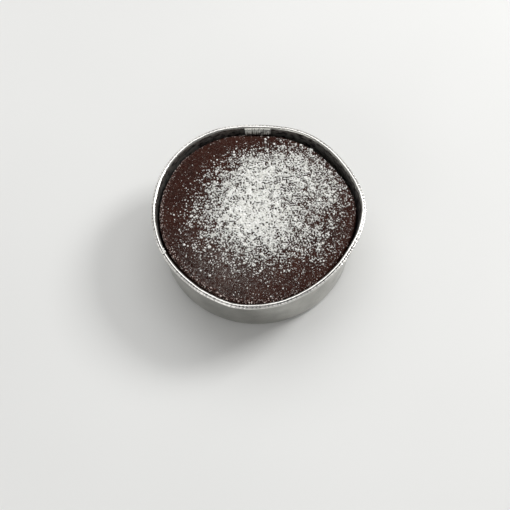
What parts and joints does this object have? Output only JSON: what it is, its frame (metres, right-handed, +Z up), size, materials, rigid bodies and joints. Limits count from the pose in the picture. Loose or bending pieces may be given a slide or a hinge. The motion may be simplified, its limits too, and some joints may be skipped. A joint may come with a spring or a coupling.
{
  "type": "chocolate souffle in a foil cup",
  "caption": "Round baked chocolate souffle with a low crown, dusted with icing sugar, in its own shallow foil cup with a rolled rim.",
  "frame": {"origin": "centre of the cup's flat base, on the surface that it stands on", "axes": "+Z up, out of the cup's mouth; +Y to the back, where the fluted flap of foil is folded in under the rim; +X to the right"},
  "size_m": [0.0888, 0.0874, 0.028],
  "materials": {
    "foil": "bright rolled aluminium foil, lightly creased",
    "baked_chocolate": "dark baked chocolate crust, matt, finely pitted",
    "icing_sugar": "dry white icing sugar, matt"
  },
  "bodies": {
    "root": {"foil_cup": "foil", "souffle": "baked_chocolate"}
  },
  "joints": []
}
